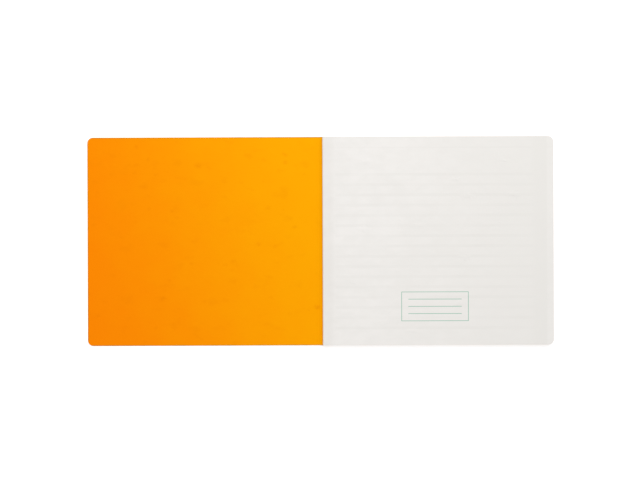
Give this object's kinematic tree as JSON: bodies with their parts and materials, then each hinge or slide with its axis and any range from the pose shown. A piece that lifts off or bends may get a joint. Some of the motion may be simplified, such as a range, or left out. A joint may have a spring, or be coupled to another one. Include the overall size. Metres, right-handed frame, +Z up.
{
  "type": "stapled exercise book",
  "caption": "Landscape stapled exercise book lying open at its first page, with an orange card cover, folded ruled sheets and wire staples; cover and leaves turn at the spine.",
  "frame": {"origin": "on the table, under the crease line of the front cover, at mid height of the page", "axes": "+X across the open book towards the pages' fore edge, +Y along the spine to the head of the page, +Z up from the table"},
  "size_m": [0.42, 0.188, 0.0051],
  "materials": {
    "cover_card": "satin",
    "page_paper": "matte",
    "first_page_paper": "matte",
    "staple_wire": "satin"
  },
  "bodies": {
    "book_back": {"back_cover": "cover_card", "sheet_01_fold": "page_paper", "sheet_02_fold": "page_paper", "sheet_03_fold": "page_paper", "sheet_04_fold": "page_paper", "sheet_05_fold": "page_paper", "sheet_06_fold": "page_paper", "sheet_07_fold": "page_paper", "sheet_08_fold": "page_paper", "sheet_09_fold": "page_paper", "sheet_10_fold": "page_paper", "sheet_11_fold": "page_paper", "sheet_12_fold": "page_paper", "upper_staple": "staple_wire", "lower_staple": "staple_wire"},
    "front_cover": {"front_cover": "cover_card"},
    "leaf_01": {"leaf_01": "first_page_paper"},
    "leaf_02": {"leaf_02": "page_paper"},
    "leaf_03": {"leaf_03": "page_paper"},
    "leaf_04": {"leaf_04": "page_paper"},
    "leaf_05": {"leaf_05": "page_paper"},
    "leaf_06": {"leaf_06": "page_paper"},
    "leaf_07": {"leaf_07": "page_paper"},
    "leaf_08": {"leaf_08": "page_paper"},
    "leaf_09": {"leaf_09": "page_paper"},
    "leaf_10": {"leaf_10": "page_paper"},
    "leaf_11": {"leaf_11": "page_paper"},
    "leaf_12": {"leaf_12": "page_paper"},
    "leaf_13": {"leaf_13": "page_paper"},
    "leaf_14": {"leaf_14": "page_paper"},
    "leaf_15": {"leaf_15": "page_paper"},
    "leaf_16": {"leaf_16": "page_paper"},
    "leaf_17": {"leaf_17": "page_paper"},
    "leaf_18": {"leaf_18": "page_paper"},
    "leaf_19": {"leaf_19": "page_paper"},
    "leaf_20": {"leaf_20": "page_paper"},
    "leaf_21": {"leaf_21": "page_paper"},
    "leaf_22": {"leaf_22": "page_paper"},
    "leaf_23": {"leaf_23": "page_paper"},
    "leaf_24": {"leaf_24": "page_paper"}
  },
  "joints": [
    {"name": "front_cover_fold", "type": "hinge", "parent": "book_back", "child": "front_cover", "pos_m": [0, 0, 0.00279], "axis": [0, 1, 0], "range_deg": [0, 179.9]},
    {"name": "leaf_24_turn", "type": "hinge", "parent": "book_back", "child": "leaf_24", "pos_m": [0.00334, 0, 0.00279], "axis": [0, -1, 0], "range_deg": [0, 180]},
    {"name": "leaf_23_turn", "type": "hinge", "parent": "leaf_24", "child": "leaf_23", "pos_m": [0.00334, 0, 0.00279], "axis": [0, -1, 0], "range_deg": [0, 180]},
    {"name": "leaf_22_turn", "type": "hinge", "parent": "leaf_23", "child": "leaf_22", "pos_m": [0.00334, 0, 0.00279], "axis": [0, -1, 0], "range_deg": [0, 180]},
    {"name": "leaf_21_turn", "type": "hinge", "parent": "leaf_22", "child": "leaf_21", "pos_m": [0.00334, 0, 0.00279], "axis": [0, -1, 0], "range_deg": [0, 180]},
    {"name": "leaf_20_turn", "type": "hinge", "parent": "leaf_21", "child": "leaf_20", "pos_m": [0.00334, 0, 0.00279], "axis": [0, -1, 0], "range_deg": [0, 180]},
    {"name": "leaf_19_turn", "type": "hinge", "parent": "leaf_20", "child": "leaf_19", "pos_m": [0.00334, 0, 0.00279], "axis": [0, -1, 0], "range_deg": [0, 180]},
    {"name": "leaf_18_turn", "type": "hinge", "parent": "leaf_19", "child": "leaf_18", "pos_m": [0.00334, 0, 0.00279], "axis": [0, -1, 0], "range_deg": [0, 180]},
    {"name": "leaf_17_turn", "type": "hinge", "parent": "leaf_18", "child": "leaf_17", "pos_m": [0.00334, 0, 0.00279], "axis": [0, -1, 0], "range_deg": [0, 180]},
    {"name": "leaf_16_turn", "type": "hinge", "parent": "leaf_17", "child": "leaf_16", "pos_m": [0.00334, 0, 0.00279], "axis": [0, -1, 0], "range_deg": [0, 180]},
    {"name": "leaf_15_turn", "type": "hinge", "parent": "leaf_16", "child": "leaf_15", "pos_m": [0.00334, 0, 0.00279], "axis": [0, -1, 0], "range_deg": [0, 180]},
    {"name": "leaf_14_turn", "type": "hinge", "parent": "leaf_15", "child": "leaf_14", "pos_m": [0.00334, 0, 0.00279], "axis": [0, -1, 0], "range_deg": [0, 180]},
    {"name": "leaf_13_turn", "type": "hinge", "parent": "leaf_14", "child": "leaf_13", "pos_m": [0.00334, 0, 0.00279], "axis": [0, -1, 0], "range_deg": [0, 180]},
    {"name": "leaf_12_turn", "type": "hinge", "parent": "leaf_13", "child": "leaf_12", "pos_m": [0.00334, 0, 0.00279], "axis": [0, -1, 0], "range_deg": [0, 180]},
    {"name": "leaf_11_turn", "type": "hinge", "parent": "leaf_12", "child": "leaf_11", "pos_m": [0.00334, 0, 0.00279], "axis": [0, -1, 0], "range_deg": [0, 180]},
    {"name": "leaf_10_turn", "type": "hinge", "parent": "leaf_11", "child": "leaf_10", "pos_m": [0.00334, 0, 0.00279], "axis": [0, -1, 0], "range_deg": [0, 180]},
    {"name": "leaf_09_turn", "type": "hinge", "parent": "leaf_10", "child": "leaf_09", "pos_m": [0.00334, 0, 0.00279], "axis": [0, -1, 0], "range_deg": [0, 180]},
    {"name": "leaf_08_turn", "type": "hinge", "parent": "leaf_09", "child": "leaf_08", "pos_m": [0.00334, 0, 0.00279], "axis": [0, -1, 0], "range_deg": [0, 180]},
    {"name": "leaf_07_turn", "type": "hinge", "parent": "leaf_08", "child": "leaf_07", "pos_m": [0.00334, 0, 0.00279], "axis": [0, -1, 0], "range_deg": [0, 180]},
    {"name": "leaf_06_turn", "type": "hinge", "parent": "leaf_07", "child": "leaf_06", "pos_m": [0.00334, 0, 0.00279], "axis": [0, -1, 0], "range_deg": [0, 180]},
    {"name": "leaf_05_turn", "type": "hinge", "parent": "leaf_06", "child": "leaf_05", "pos_m": [0.00334, 0, 0.00279], "axis": [0, -1, 0], "range_deg": [0, 180]},
    {"name": "leaf_04_turn", "type": "hinge", "parent": "leaf_05", "child": "leaf_04", "pos_m": [0.00334, 0, 0.00279], "axis": [0, -1, 0], "range_deg": [0, 180]},
    {"name": "leaf_03_turn", "type": "hinge", "parent": "leaf_04", "child": "leaf_03", "pos_m": [0.00334, 0, 0.00279], "axis": [0, -1, 0], "range_deg": [0, 180]},
    {"name": "leaf_02_turn", "type": "hinge", "parent": "leaf_03", "child": "leaf_02", "pos_m": [0.00334, 0, 0.00279], "axis": [0, -1, 0], "range_deg": [0, 180]},
    {"name": "leaf_01_turn", "type": "hinge", "parent": "leaf_02", "child": "leaf_01", "pos_m": [0.00334, 0, 0.00279], "axis": [0, -1, 0], "range_deg": [0, 180]}
  ]
}
